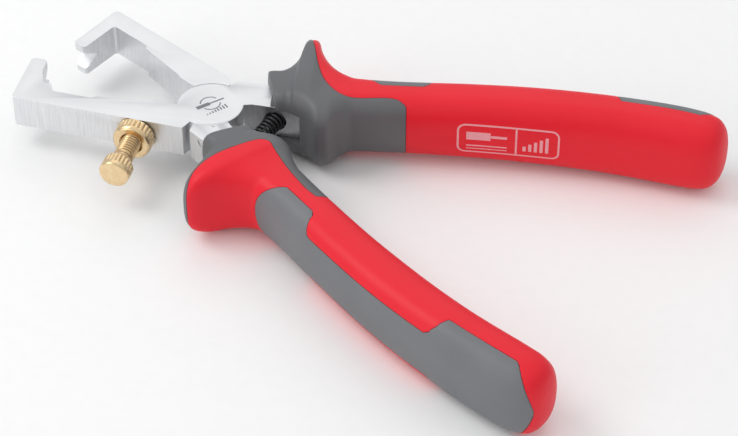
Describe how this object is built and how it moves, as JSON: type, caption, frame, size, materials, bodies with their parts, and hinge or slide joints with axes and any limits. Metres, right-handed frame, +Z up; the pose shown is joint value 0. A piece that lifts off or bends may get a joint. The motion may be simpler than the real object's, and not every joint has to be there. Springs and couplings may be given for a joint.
{
  "type": "wire stripper",
  "caption": "Front wire stripper: two forged levers on a lap joint with hooked V-notch jaws, adjusting screw with lock nut, opening spring and two-colour handles.",
  "frame": {"origin": "pivot axis at the joint's underside, in the middle of the rivet's flush lower face", "axes": "+Z up out of the joint along the pivot axis, handles towards +X, jaws towards -X, the root lever's handle on the +Y side; rest pose is the spring-open position"},
  "size_m": [0.1557, 0.1018, 0.0194],
  "materials": {
    "forged_steel": "drop-forged chrome-vanadium steel, belt-ground and bright plated, satin",
    "brass": "turned brass with straight knurls, bright",
    "spring_steel": "black-oxide spring wire",
    "grey_core": "moulded grey plastic, fine matt texture",
    "red_grip": "over-moulded red grip rubber, satin",
    "grey_inlay": "moulded grey soft inlay, matt"
  },
  "bodies": {
    "root": {"lower_jaw_lever": "forged_steel", "pivot_rivet": "forged_steel", "opening_spring": "spring_steel", "upper_handle_core": "grey_core", "upper_handle_grip": "red_grip", "upper_palm_inlay": "grey_inlay"},
    "jaw": {"upper_jaw_lever": "forged_steel", "lower_handle_core": "grey_core", "lower_handle_grip": "red_grip", "lower_palm_inlay": "grey_inlay"},
    "screw": {"adjusting_screw": "brass"},
    "screw_knob": {"screw_head": "brass"},
    "nut": {"lock_nut": "brass"}
  },
  "joints": [
    {"name": "jaw_pivot", "type": "hinge", "parent": "root", "child": "jaw", "pos_m": [0, 0, 0.004], "axis": [0, 0, 1], "range_deg": [0, 18], "stiffness_Nm_per_rad": 0.8, "springref_deg": -20.05, "deforming": ["opening_spring"]},
    {"name": "screw_travel", "type": "slide", "parent": "root", "child": "screw", "axis": [-0.2363, 0.9717, 0], "range_m": [0, 0.0048]},
    {"name": "screw_turn", "type": "hinge", "parent": "screw", "child": "screw_knob", "pos_m": [-0.01187, -0.01327, 0.004], "axis": [-0.2363, 0.9717, 0], "range_deg": [0, 2165]},
    {"name": "nut_turn", "type": "hinge", "parent": "root", "child": "nut", "pos_m": [-0.01187, -0.01327, 0.004], "axis": [-0.2363, 0.9717, 0], "range_deg": [-180, 0]}
  ],
  "couplings": [
    {"joint": "screw_turn", "follows": "screw_travel", "rad_per_m": 7854}
  ]
}
